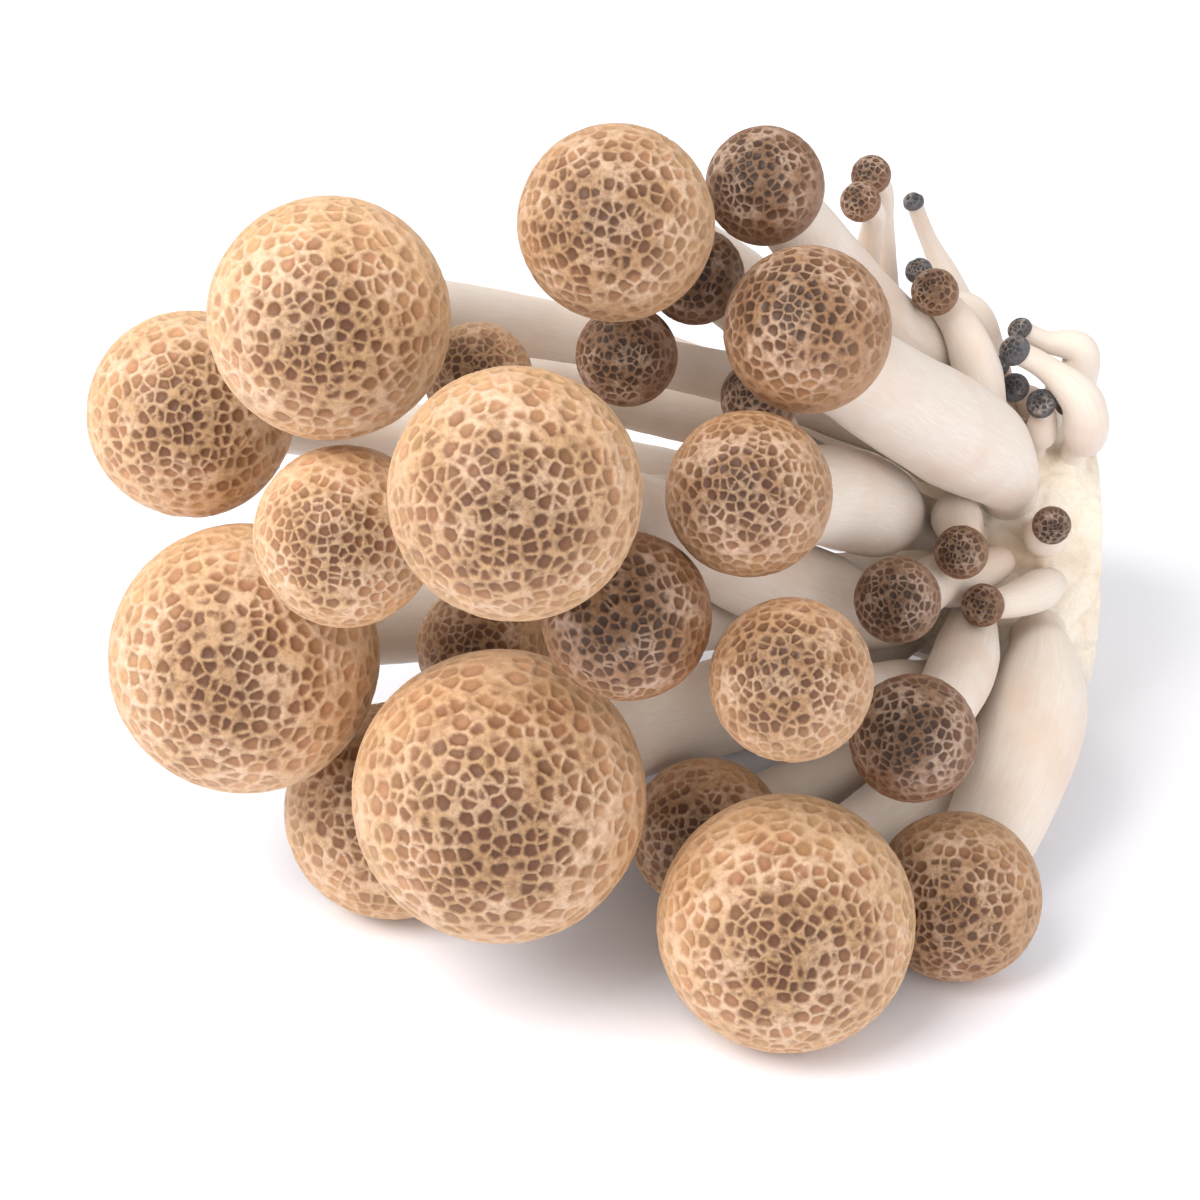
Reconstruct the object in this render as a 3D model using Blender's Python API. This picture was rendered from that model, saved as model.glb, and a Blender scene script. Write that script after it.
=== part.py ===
"""Beech mushroom cluster, lying on a surface: round caps with a raised net and gills, on
curved stems that all grow from one butt. Sizes and places below are in millimetres. The
caps face -Y and a little +X, the butt is towards +Y and +X, and +Z is up."""

import math
import random

import bmesh
import bpy
from mathutils import Quaternion, Vector

MM = 0.001
GAP = 0.3  # left open where one piece meets another
MERGE = 0.00001  # metres
SEED = 11

# The butt: the lump that every stem grows from, with one flat cut
BUTT_CENTRE = (19.0, 24.0, 16.0)
BUTT_RADIUS = 17.0
BUTT_BACK = 6.0  # from the centre to the cut
CUT_WAY = (120, 0)  # the way the cut faces: degrees from -Y towards +X, degrees above level
BUTT_LUMPS, LUMP_WAVES, WAVE_COUNTS = 1.0, 5, (4, 7)
BUTT_FINENESS = 4
FOOT_HEIGHT = 2.2  # how far the butt rises to meet each stem
FOOT_WIDTH = 1.35  # of the foot, as a share of the stem's root
FOOT_STEEPNESS = 4

# A cap, as shares of its radius
DOME_HEIGHT = 0.92
RIM_ANGLE = math.radians(107)  # how far the dome curls under, from its crown
JOINT_DEPTH = 0.12  # where the stem meets the underside, below the widest ring
GILL_REACH, GILL_LOW, GILL_HIGH = 0.80, 0.27, 0.14
GILL_COUNTS = ((10.0, 20), (7.0, 16), (4.0, 12), (2.5, 10), (0.0, 8))  # from a cap radius up
PIT_DEPTH = 0.10
CELL_WIDTH = 0.34  # of the net, larger than life
COARSER_WHEN_SMALL = 1.5
CROWN_CROWDING = 1.2  # above 1, cells are closer together at the crown
FEWEST_CELLS = 9
RIM_MARGIN = 0.75  # bare skin between the last cells and the rim, in cells
CELL_SHIFT, CELL_TURN = 0.04, 0.35  # how far each cell may be from its regular place
POLE_EASE = 0.3
GOLDEN_ANGLE = math.pi * (3 - math.sqrt(5))

# A stem, as shares of its belly radius, from the cap to the root
NECK, ROOT = 0.80, 0.55
BELLY_AT = 0.68
WIDEST_NECK = 0.64  # as a share of the cap's radius
STEM_POINTS = 9
STEM_SIDES_STEP, PIN_SIDES_STEP = 2, 1  # a curve's bevel resolution: 8 and 6 sides
LOWEST_ROOT = -0.38  # the least upward part of the way a stem leaves the butt
LAST_ROOT = -0.05  # the most that a stem leaves it towards the cut
SPREAD = 1.1  # how much wider the stems part at the butt than the caps do
WIDEST_SPREAD = math.radians(100)
CLEARANCE = 0.5
OLDER = 3.0  # a wider cap's stem is spread, a narrower one's leaves the butt where it is nearest

# The front view, in which places are measured: the way to it (degrees from -Y towards +X and
# above level), its middle, and how far off it is seen from
VIEW_WAY = (30, 33)
VIEW_MIDDLE = (0.0, -35.0, 36.0)
VIEW_DISTANCE = 320.0

# Mushrooms, the largest first: the middle of the cap's widest ring in the front view, as
# millimetres across, up and nearer than its middle; cap radius; the way the cap faces (as
# above); and the stem's belly radius
MUSHROOMS = (
    ((-9.5, -18.5, 4), 13.8, (30, 25), 5.0),
    ((-33.5, -5.5, -4), 13.0, (30, 25), 4.5),
    ((17.5, -30.5, 2), 12.2, (30, 25), 5.0),
    ((-8, 10, 30), 11.0, (30, 25), 4.7),
    ((-25.5, 26.5, 16), 11.0, (30, 20), 4.0),
    ((-19.5, -20, -16), 10.8, (30, 35), 4.2),
    ((-38.5, 17.5, -6), 10.0, (35, 25), 4.0),
    ((1.5, 35.5, 20), 8.8, (20, 30), 4.2),
    ((-24, 6, 11), 8.4, (30, 25), 3.7),
    ((33.5, -28.5, -8), 8.3, (15, 25), 5.4),
    ((2.5, -1.5, 16), 7.7, (25, 30), 4.0),
    ((10, -22, -14), 7.6, (15, 30), 3.6),
    ((19.5, 25.5, 16), 7.6, (10, 45), 5.5),
    ((14, 10, 18), 7.5, (20, 35), 5.1),
    ((18, -7.5, 18), 7.4, (20, 40), 4.2),
    ((-11, -4.5, -14), 6.6, (20, 25), 3.2),
    ((29.5, -13, 2), 6.1, (15, 40), 3.5),
    ((15.5, 39, 10), 5.5, (10, 40), 4.1),
    ((-11.5, 21, 0), 5.2, (20, 30), 3.0),
    ((2.5, 23, 4), 4.8, (20, 30), 2.8),
    ((9, 30.5, 4), 4.6, (20, 35), 2.9),
    ((28, 0, -4), 4.2, (15, 30), 2.7),
    ((15, 19, 2), 3.7, (15, 40), 2.5),
    ((34, 4.5, -14), 2.7, (5, 35), 2.5),
    ((31.5, 29, -16), 2.4, (0, 45), 2.9),
    ((36, -0.5, -18), 2.2, (5, 30), 2.2),
    ((24.5, 37.5, -8), 2.0, (0, 40), 1.5),
    ((25.5, 40, -14), 2.0, (0, 45), 1.4),
)
RESTING = (3, 6, 10)  # mushrooms whose caps lie on the surface
SINK = 0.35  # how much of such a cap is pressed flat

# Pins, the youngest, which stay one piece with the butt: as above. The last three are round the back.
PINS = (
    ((42.5, 7, -20), 1.8, (25, 10), 2.2),
    ((39.5, 25.5, -28), 1.2, (-40, 55), 2.2),
    ((39, 23.5, -22), 1.5, (-30, 45), 2.4),
    ((37.5, 22, -27), 1.1, (-30, 45), 1.6),
    ((39, 20, -26), 1.4, (-10, 45), 1.8),
    ((41.5, 18.5, -24), 1.4, (0, 45), 1.7),
    ((44, 18.5, -27), 1.2, (20, 45), 2.0),
    ((30, 31, -24), 1.3, (-10, 60), 1.7),
    ((29.5, 37.5, -28), 1.0, (-10, 65), 1.7),
    ((30.5, 23.5, -60), 1.6, (-125, 30), 2.2),
    ((23.5, 16.5, -64), 1.7, (-110, 12), 2.2),
    ((18.5, 6.5, -62), 1.3, (-90, 0), 1.9),
)
PIN_SUNK = 4.0  # how deep in the butt a pin starts

# Stems whose foot shows in the front view, by their number, mushrooms first and then pins: how
# far the way they leave the butt leans across and up there
ROOT_LEANS = {
    10: (-0.05, -0.52),
    13: (-0.22, 0.28),
    14: (-0.62, 0.10),
    18: (-0.36, 0.72),
    22: (-0.26, -0.10),
    26: (0.00, -0.20),
    30: (0.12, 0.72),
    31: (0.14, 0.50),
}
HEAD_PROFILE = ((-0.35, 0.92), (0.35, 1.0), (0.8, 0.7), (1.05, 0.25))  # steps along it, widths

# How the stems are bent clear of each other
PULL = 0.28  # how far a stem runs straight on from its ends, as a share of its length
ROOT_ROUNDS, PARTING_ROUNDS = 300, 160
STEM_PUSH, CAP_PUSH, BUTT_PUSH = 0.3, 0.6, 0.5  # share of a lack of room made up in each round
EASING = 0.3  # how much a stem's stretches follow each other when pushed
LONGEST_STRETCH = 12.0

CAP_TAN = (0.50, 0.30, 0.15)
CAP_DARK = (0.16, 0.09, 0.05)
FLESH = (0.82, 0.75, 0.64)
SKIN_ROUGHNESS, FLESH_ROUGHNESS = 0.55, 0.6
DARK_UNDER, TAN_OVER = 4.0, 10.0  # cap radii between which the colour turns
CAP_CREASE, BUTT_CREASE = math.radians(28), math.radians(40)


def clear_scene():
    for obj in list(bpy.data.objects):
        bpy.data.objects.remove(obj, do_unlink=True)


def plain_material(name, colour, roughness):
    material = bpy.data.materials.new(name)
    material.use_nodes = True
    shader = material.node_tree.nodes["Principled BSDF"]
    shader.inputs["Base Color"].default_value = (*colour, 1.0)
    shader.inputs["Roughness"].default_value = roughness
    shader.inputs["Metallic"].default_value = 0.0
    return material


def facing(turn, lift):
    """The unit vector that is turn degrees from -Y towards +X and lift degrees above level."""
    turn, lift = math.radians(turn), math.radians(lift)
    return Vector((math.sin(turn) * math.cos(lift), -math.cos(turn) * math.cos(lift), math.sin(lift)))


def on_sphere(polar, around):
    return Vector((math.sin(polar) * math.cos(around), math.sin(polar) * math.sin(around), math.cos(polar)))


def view_axes():
    """The unit vectors across and up in the front view, and out of it towards the eye."""
    back = facing(*VIEW_WAY)
    right = Vector((0, 0, 1)).cross(back).normalized()
    return right, back.cross(right), back


def seen_at(across, up, nearer):
    """The point that is at this place in the front view, where what is nearer looks larger."""
    right, top, back = view_axes()
    scale = 1 - nearer / VIEW_DISTANCE
    return Vector(VIEW_MIDDLE) + back * nearer + (right * across + top * up) * scale


def leaning(across, up):
    """The unit vector towards the eye that leans this far across and up in the front view."""
    right, top, back = view_axes()
    return right * across + top * up + back * math.sqrt(1 - across**2 - up**2)


def dome_point(direction, radius, depth=0.0):
    """A point of a cap's skin, or depth under it, in the direction given from the widest ring's centre."""
    height = DOME_HEIGHT if direction.z > 0 else 1.0
    flat = Vector((direction.x, direction.y, direction.z * height))
    return flat * (radius - depth)


# Caps

def net_sites(radius, sides, rng):
    """Middles of the net's cells, as directions: closer together at the crown, none at the rim."""
    cover = 1 - math.cos(RIM_ANGLE)
    cell = CELL_WIDTH * (1.0 + COARSER_WHEN_SMALL / radius)
    count = max(FEWEST_CELLS, round(2 * math.pi * cover / cell**2) - sides // 2)
    reach = 1 - math.cos(RIM_ANGLE - RIM_MARGIN * cell)
    sites = []
    for i in range(count):
        share = ((i + 0.5) / count) ** CROWN_CROWDING
        polar = math.acos(1 - reach * share) * (1 + rng.uniform(-CELL_SHIFT, CELL_SHIFT))
        turn = rng.uniform(-CELL_TURN, CELL_TURN) * cell / (POLE_EASE + math.sin(polar))
        around = i * GOLDEN_ANGLE + turn
        sites.append(on_sphere(polar, around))
    return sites


def rim_ring(count):
    return [on_sphere(RIM_ANGLE, 2 * math.pi * i / count) for i in range(count)]


def site_triangles(sites):
    """Triangles between neighbouring sites, as index triples, from the hull of the directions."""
    hull = bmesh.new()
    for site in sites:
        hull.verts.new(site)
    hull.verts.ensure_lookup_table()
    hull.verts.index_update()
    names = {vert: number for number, vert in enumerate(hull.verts)}
    made = bmesh.ops.convex_hull(hull, input=hull.verts[:])
    faces = [item for item in made["geom"] if isinstance(item, bmesh.types.BMFace)]
    triangles = [tuple(names[vert] for vert in face.verts) for face in faces]
    hull.free()
    return triangles


def add_net(bm, radius, sides, rng):
    """The dome: each cell of the net is a shallow pit between raised ridges. Returns the rim's corners."""
    inner = net_sites(radius, sides, rng)
    sites = inner + rim_ring(sides)
    pit = PIT_DEPTH * radius
    middles = [bm.verts.new(dome_point(site, radius, pit)) for site in inner]
    middles += [bm.verts.new(dome_point(site, radius)) for site in sites[len(inner):]]
    ridges = {}
    for triangle in site_triangles(sites):
        if min(triangle) >= len(inner):
            continue  # the flat across the rim
        centre = sum((sites[i] for i in triangle), Vector()).normalized()
        corner = bm.verts.new(dome_point(centre, radius))
        for k in range(3):
            ridges.setdefault(frozenset((triangle[k], triangle[k - 1])), []).append(corner)
    for pair, corners in ridges.items():
        first, second = (middles[i] for i in pair)
        if len(corners) == 2:
            bm.faces.new((first, corners[0], corners[1]))
            bm.faces.new((second, corners[1], corners[0]))
        else:
            bm.faces.new((first, second, corners[0]))
    return middles[len(inner):]


def add_gills(bm, rim, radius, joint_radius):
    """The underside: gills as folds from the rim in to the flat spot where the stem joins."""
    count = len(rim)
    folds = []
    joint = []
    for i in range(2 * count):
        around = math.pi * i / count
        low = GILL_LOW if i % 2 == 0 else GILL_HIGH
        out = Vector((math.cos(around), math.sin(around), 0))
        folds.append(bm.verts.new(out * GILL_REACH * radius + Vector((0, 0, -low * radius))))
        joint.append(bm.verts.new(out * joint_radius + Vector((0, 0, -JOINT_DEPTH * radius))))
    for i in range(count):
        edge, following = rim[i], rim[(i + 1) % count]
        near, valley, far = folds[2 * i], folds[2 * i + 1], folds[(2 * i + 2) % (2 * count)]
        bm.faces.new((edge, near, valley))
        bm.faces.new((edge, valley, following))
        bm.faces.new((following, valley, far))
    for i in range(2 * count):
        following = (i + 1) % (2 * count)
        bm.faces.new((folds[i], joint[i], joint[following]))
        bm.faces.new((folds[i], joint[following], folds[following]))
    bm.faces.new(joint)


def gill_count(radius):
    return next(count for least, count in GILL_COUNTS if radius >= least)


def make_cap(name, radius, joint_radius, material, rng):
    bm = bmesh.new()
    rim = add_net(bm, radius, gill_count(radius), rng)
    add_gills(bm, rim, radius, joint_radius)
    bmesh.ops.recalc_face_normals(bm, faces=bm.faces[:])
    bmesh.ops.scale(bm, vec=(MM, MM, MM), verts=bm.verts[:])
    mesh = bpy.data.meshes.new(name)
    bm.to_mesh(mesh)
    bm.free()
    mesh.shade_smooth()
    mesh.set_sharp_from_angle(angle=CAP_CREASE)
    mesh.materials.append(material)
    cap = bpy.data.objects.new(name, mesh)
    bpy.context.collection.objects.link(cap)
    return cap


def place_cap(cap, centre, direction):
    cap.rotation_mode = "QUATERNION"
    cap.rotation_quaternion = direction.to_track_quat("Z", "Y")
    cap.location = centre * MM


def lay_on_surface(cap, centre):
    """Lowers a cap on to the surface and presses its lowest part flat. Returns its new place."""
    bpy.context.view_layer.update()
    lowest = min((cap.matrix_world @ vert.co).z for vert in cap.data.vertices) / MM
    centre = centre - Vector((0, 0, lowest + SINK))
    cap.location = centre * MM
    bpy.context.view_layer.update()
    back = cap.matrix_world.inverted()
    for vert in cap.data.vertices:
        place = cap.matrix_world @ vert.co
        if place.z < 0:
            place.z = 0
            vert.co = back @ place
    return centre


# Stems

def neck_radius(belly, cap_radius):
    return min(NECK * belly, WIDEST_NECK * cap_radius)


def belly_shape(share, plan):
    """A stem's radius at a share of its length, from the cap to the root."""
    belly = plan["belly"]
    if share < BELLY_AT:
        neck = neck_radius(belly, plan["radius"])
        return neck + (belly - neck) * (0.5 - 0.5 * math.cos(math.pi * share / BELLY_AT))
    blend = 0.5 - 0.5 * math.cos(math.pi * (share - BELLY_AT) / (1 - BELLY_AT))
    return belly * (1 + (ROOT - 1) * blend)


def plan_of(centre, radius, direction, belly):
    """What a stem's course has to know of its mushroom."""
    joint = centre - direction * JOINT_DEPTH * radius
    return {"centre": centre, "radius": radius, "direction": direction, "joint": joint, "belly": belly}


def root_directions(plans):
    """Where each stem leaves the butt: as its cap lies from there, spread wider and then parted."""
    centre, cut = Vector(BUTT_CENTRE), facing(*CUT_WAY)
    aims = [(plan["joint"] - centre).normalized() for plan in plans]
    middle = sum(aims, Vector()).normalized()
    roots = []
    for plan, aim in zip(plans, aims):
        turn = middle.rotation_difference(aim)
        axis, angle = turn.to_axis_angle()
        wider = SPREAD if plan["radius"] > OLDER else 1.0
        spread = middle.copy()
        spread.rotate(Quaternion(axis, min(angle * wider, WIDEST_SPREAD)))
        roots.append(spread)
    widths = [plan["belly"] * ROOT + CLEARANCE for plan in plans]
    for _ in range(ROOT_ROUNDS):
        for i, first in enumerate(roots):
            for j in range(i):
                second = roots[j]
                apart = (first - second).length * BUTT_RADIUS
                lack = widths[i] + widths[j] - apart
                if lack > 0:
                    push = (first - second).normalized() * (0.5 * lack / BUTT_RADIUS)
                    first = (first + push).normalized()
                    roots[j] = (second - push).normalized()
            roots[i] = first
        for i, root in enumerate(roots):
            root = root - cut * max(root.dot(cut) - LAST_ROOT, 0)
            roots[i] = Vector((root.x, root.y, max(root.z, LOWEST_ROOT))).normalized()
        for number, lean in ROOT_LEANS.items():
            roots[number - 1] = leaning(*lean)
    return roots


def first_course(plan, root):
    """A stem's course before its neighbours push it: straight out of the cap and of the butt."""
    start = plan["joint"] - plan["direction"] * GAP
    end = Vector(BUTT_CENTRE) + root * (BUTT_RADIUS + FOOT_HEIGHT + GAP)
    pull = (end - start).length * PULL
    bend = (start, start - plan["direction"] * pull, end + root * pull, end)
    course = []
    for i in range(STEM_POINTS):
        t = i / (STEM_POINTS - 1)
        weights = ((1 - t) ** 3, 3 * t * (1 - t) ** 2, 3 * t * t * (1 - t), t**3)
        course.append(sum((weight * point for weight, point in zip(weights, bend)), Vector()))
    course[1] = start - plan["direction"] * (course[1] - start).length
    course[-2] = end + root * (course[-2] - end).length
    return course


def cap_push(start, end, girths, plan):
    """How far, which way and where along it a stem's stretch has to go to clear another's cap."""
    along = end - start
    share = min(max((plan["centre"] - start).dot(along) / along.length_squared, 0), 1)
    point, radius = start + along * share, girths[0] * (1 - share) + girths[1] * share
    offset = point - plan["centre"]
    size = plan["radius"]
    height = offset.dot(plan["direction"])
    floor = size * math.cos(RIM_ANGLE)
    if height > floor:
        return radius + size + CLEARANCE - offset.length, offset.normalized(), share
    aside = offset - plan["direction"] * height
    if aside.length < size:
        return radius + CLEARANCE - (floor - height), -plan["direction"], share
    edge = plan["centre"] + plan["direction"] * floor + aside.normalized() * size
    return radius + CLEARANCE - (point - edge).length, (point - edge).normalized(), share


def part_stems(plans, courses):
    """Bends the stems clear of each other, of the caps, of the butt and of the surface."""
    last = STEM_POINTS - 1
    girths = [[belly_shape(i / last, plan) for i in range(STEM_POINTS)] for plan in plans]
    moved = [[Vector() for _ in course] for course in courses]
    for _ in range(PARTING_ROUNDS):
        steps = [[Vector() for _ in course] for course in courses]
        for a, first in enumerate(courses):
            for b in range(a):
                push_apart(first, courses[b], girths[a], girths[b], steps[a], steps[b])
            clear_caps(first, girths[a], plans[:a] + plans[a + 1:], steps[a])
            for i in range(1, last):
                steps[a][i] += ground_push(first[i], girths[a][i], i < last - 1)
        for course, step, drift in zip(courses, steps, moved):
            before = [move.copy() for move in drift]
            for i in range(2, last - 1):
                ease = ((before[i - 1] + before[i + 1]) / 2 - before[i]) * EASING
                drift[i] += step[i] + ease
                course[i] += step[i] + ease
    return girths


def clear_caps(course, girths, others, steps):
    """Adds the pushes that a stem gets from the other mushrooms' caps."""
    for i in range(len(course) - 1):
        for plan in others:
            lack, way, share = cap_push(course[i], course[i + 1], girths[i:i + 2], plan)
            if lack > 0:
                steps[i] += way * lack * CAP_PUSH * (1 - share)
                steps[i + 1] += way * lack * CAP_PUSH * share


def ground_push(point, girth, near_butt):
    """The push that a stem's point gets from the surface and the butt."""
    push = Vector((0, 0, max(girth + GAP - point.z, 0)))
    out = point - Vector(BUTT_CENTRE)
    lack = girth + BUTT_RADIUS + FOOT_HEIGHT + GAP - out.length
    if lack > 0 and near_butt:
        push += out.normalized() * lack * BUTT_PUSH
    return push


def push_apart(first, second, wide, narrow, moves, others):
    """Adds the pushes between two stems, at the closest places of every pair of their stretches."""
    for i in range(len(first) - 1):
        for j in range(len(second) - 1):
            reach = wide[i] + narrow[j] + LONGEST_STRETCH
            if (first[i] - second[j]).length_squared > reach * reach:
                continue
            near, far, s, t = closest(first[i], first[i + 1], second[j], second[j + 1])
            offset = near - far
            width = wide[i] * (1 - s) + wide[i + 1] * s + narrow[j] * (1 - t) + narrow[j + 1] * t
            lack = width + CLEARANCE - offset.length
            if lack <= 0:
                continue
            push = offset.normalized() * lack * STEM_PUSH
            moves[i] += push * (1 - s)
            moves[i + 1] += push * s
            others[j] -= push * (1 - t)
            others[j + 1] -= push * t


def closest(a, b, c, d):
    """The closest points of the stretches a-b and c-d, and their shares along them."""
    u, v, w = b - a, d - c, a - c
    uu, uv, vv, uw, vw = u.dot(u), u.dot(v), v.dot(v), u.dot(w), v.dot(w)
    under = max(uu * vv - uv * uv, 1e-9)
    s = min(max((uv * vw - vv * uw) / under, 0), 1)
    t = min(max((uv * s + vw) / vv, 0), 1)
    s = min(max((uv * t - uw) / uu, 0), 1)
    return a + u * s, c + v * t, s, t


def make_tube(name, course, girths, material, sides_step=STEM_SIDES_STEP):
    curve = bpy.data.curves.new(name, "CURVE")
    curve.dimensions = "3D"
    curve.bevel_depth = MM
    curve.bevel_resolution = sides_step
    curve.use_fill_caps = True
    spline = curve.splines.new("POLY")
    spline.points.add(len(course) - 1)
    for point, place, girth in zip(spline.points, course, girths):
        point.co = (*(place * MM), 1.0)
        point.radius = girth
    spline.use_smooth = True
    curve.materials.append(material)
    tube = bpy.data.objects.new(name, curve)
    bpy.context.collection.objects.link(tube)
    return tube


# Butt and pins

def make_butt(plans, roots, material, rng):
    """A round lump that rises to a foot under each stem, with a flat cut and flat where it lies."""
    centre, cut = Vector(BUTT_CENTRE), facing(*CUT_WAY)
    bm = bmesh.new()
    bmesh.ops.create_icosphere(bm, subdivisions=BUTT_FINENESS, radius=1.0)
    waves = []
    for _ in range(LUMP_WAVES):
        waves.append((facing(rng.uniform(0, 360), rng.uniform(-80, 80)), rng.uniform(*WAVE_COUNTS)))
    feet = [(root, FOOT_WIDTH * plan["belly"] * ROOT / BUTT_RADIUS) for plan, root in zip(plans, roots)]
    for vert in bm.verts:
        way = vert.co.normalized()
        wave = sum(math.sin(count * way.dot(axis)) for axis, count in waves) / len(waves)
        rise = max(math.exp(-((way - root).length / width) ** FOOT_STEEPNESS) for root, width in feet)
        vert.co = centre + way * (BUTT_RADIUS + BUTT_LUMPS * wave * (1 - rise) + FOOT_HEIGHT * rise)
    bmesh.ops.bisect_plane(
        bm, geom=bm.verts[:] + bm.edges[:] + bm.faces[:], plane_co=centre + cut * BUTT_BACK,
        plane_no=cut, clear_outer=True,
    )
    edges = [edge for edge in bm.edges if edge.is_boundary]
    bmesh.ops.contextual_create(bm, geom=edges)
    for vert in bm.verts:
        vert.co.z = max(vert.co.z, 0)
    bmesh.ops.scale(bm, vec=(MM, MM, MM), verts=bm.verts[:])
    bmesh.ops.recalc_face_normals(bm, faces=bm.faces[:])
    mesh = bpy.data.meshes.new("butt")
    bm.to_mesh(mesh)
    bm.free()
    mesh.materials.append(material)
    butt = bpy.data.objects.new("butt", mesh)
    bpy.context.collection.objects.link(butt)
    return butt


def pin_with_head(plan, course, girths):
    """A pin's course and widths from inside the butt, up its stem and round its head."""
    root = course[-1] - Vector(BUTT_CENTRE)
    sunk = course[-1] - root.normalized() * PIN_SUNK
    size = plan["radius"]
    crown = [plan["centre"] + plan["direction"] * size * step for step, _ in HEAD_PROFILE]
    points = [sunk] + course[:0:-2] + crown
    return points, [girths[-1]] + girths[:0:-2] + [size * width for _, width in HEAD_PROFILE]


def fuse_pins(butt, pins, material):
    """Joins every pin to the butt, root sunk well in, and leaves one closed solid."""
    bunch = bpy.data.collections.new("pins")
    bpy.context.scene.collection.children.link(bunch)
    for number, (points, girths) in enumerate(pins, 1):
        tube = make_tube(f"pin_{number:02d}", points, girths, material, PIN_SIDES_STEP)
        solid = bpy.data.meshes.new_from_object(tube.evaluated_get(bpy.context.evaluated_depsgraph_get()))
        bpy.data.objects.remove(tube, do_unlink=True)
        merged = bmesh.new()
        merged.from_mesh(solid)
        bmesh.ops.remove_doubles(merged, verts=merged.verts[:], dist=MERGE)
        bmesh.ops.recalc_face_normals(merged, faces=merged.faces[:])
        merged.to_mesh(solid)
        merged.free()
        bunch.objects.link(bpy.data.objects.new(f"pin_{number:02d}", solid))
    union = butt.modifiers.new("pins", "BOOLEAN")
    union.operation = "UNION"
    union.operand_type = "COLLECTION"
    union.collection = bunch
    union.solver = "MANIFOLD"
    fused = bpy.data.meshes.new_from_object(butt.evaluated_get(bpy.context.evaluated_depsgraph_get()))
    butt.modifiers.clear()
    butt.data = fused
    fused.shade_smooth()
    fused.set_sharp_from_angle(angle=BUTT_CREASE)
    for pin in list(bunch.objects):
        bpy.data.objects.remove(pin, do_unlink=True)
    bpy.data.collections.remove(bunch)


def cap_colour(radius):
    """Young caps are dark, and turn tan as they grow."""
    age = min(max((radius - DARK_UNDER) / (TAN_OVER - DARK_UNDER), 0), 1)
    return tuple(dark + (tan - dark) * age for dark, tan in zip(CAP_DARK, CAP_TAN))


def centre_on_origin(cluster, objects):
    """Puts the middle of the whole box, at its bottom, on the origin."""
    bpy.context.view_layer.update()
    graph = bpy.context.evaluated_depsgraph_get()
    places = []
    for obj in objects:
        shape = obj.evaluated_get(graph)
        mesh = shape.to_mesh()
        places += [shape.matrix_world @ vert.co for vert in mesh.vertices]
        shape.to_mesh_clear()
    for axis in (0, 1):
        values = [place[axis] for place in places]
        cluster.location[axis] = -(min(values) + max(values)) / 2
    cluster.location.z = -min(place.z for place in places)


def main():
    clear_scene()
    rng = random.Random(SEED)
    flesh = plain_material("flesh", FLESH, FLESH_ROUGHNESS)
    plans = []
    objects = []
    for number, (place, radius, way, belly) in enumerate(MUSHROOMS, 1):
        skin = plain_material(f"cap_{number:02d}", cap_colour(radius), SKIN_ROUGHNESS)
        cap = make_cap(f"cap_{number:02d}", radius, neck_radius(belly, radius) + GAP, skin, rng)
        centre, direction = seen_at(*place), facing(*way)
        place_cap(cap, centre, direction)
        if number in RESTING:
            centre = lay_on_surface(cap, centre)
        plans.append(plan_of(centre, radius, direction, belly))
        objects.append(cap)
    plans += [plan_of(seen_at(*place), radius, facing(*way), belly) for place, radius, way, belly in PINS]
    roots = root_directions(plans)
    courses = [first_course(plan, root) for plan, root in zip(plans, roots)]
    girths = part_stems(plans, courses)
    grown = len(MUSHROOMS)
    for number, (course, girth) in enumerate(zip(courses[:grown], girths), 1):
        objects.append(make_tube(f"stem_{number:02d}", course, girth, flesh))
    butt = make_butt(plans, roots, flesh, rng)
    pins = zip(plans[grown:], courses[grown:], girths[grown:])
    fuse_pins(butt, [pin_with_head(*pin) for pin in pins], flesh)
    objects.append(butt)
    cluster = bpy.data.objects.new("cluster", None)
    bpy.context.collection.objects.link(cluster)
    centre_on_origin(cluster, objects)
    for obj in objects:
        obj.parent = cluster


main()
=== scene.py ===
"""The looks of a beech mushroom cluster: netted caps with gills, stems, dark pins and the butt
that they all grow from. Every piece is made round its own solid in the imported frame. Sizes
named here are in millimetres, and the frame is in metres."""

import math

import bmesh
import bpy
import numpy as np
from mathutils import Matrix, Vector, noise
from mathutils.bvhtree import BVHTree


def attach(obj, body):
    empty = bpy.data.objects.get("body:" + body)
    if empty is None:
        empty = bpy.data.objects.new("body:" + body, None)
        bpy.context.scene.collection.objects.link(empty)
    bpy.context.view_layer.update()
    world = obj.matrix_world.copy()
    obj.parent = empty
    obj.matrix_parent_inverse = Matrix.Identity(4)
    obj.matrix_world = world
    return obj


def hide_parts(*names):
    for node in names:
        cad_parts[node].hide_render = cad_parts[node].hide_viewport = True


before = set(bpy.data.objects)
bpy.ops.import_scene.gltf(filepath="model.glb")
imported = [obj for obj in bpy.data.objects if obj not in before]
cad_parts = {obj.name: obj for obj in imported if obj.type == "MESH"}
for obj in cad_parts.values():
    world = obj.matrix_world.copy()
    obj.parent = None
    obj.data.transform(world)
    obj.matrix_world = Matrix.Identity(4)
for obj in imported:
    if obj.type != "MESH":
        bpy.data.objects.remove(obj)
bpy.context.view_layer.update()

MM = 0.001
MERGE = 0.000005
SAME_PLANE = 0.9995
CAPS = range(1, 29)
SKIN_SEED, HEAD_SEED, STEM_SEED, PIN_SEED = 7.3, 4.1, 3.1, 5.7  # steps between the pieces' patterns

# Shapes of the CAD solids that the fine pieces keep, as shares of a cap's radius
DOME_HEIGHT = 0.92
RIM_ANGLE = math.radians(107)
JOINT_DEPTH = 0.12

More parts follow.
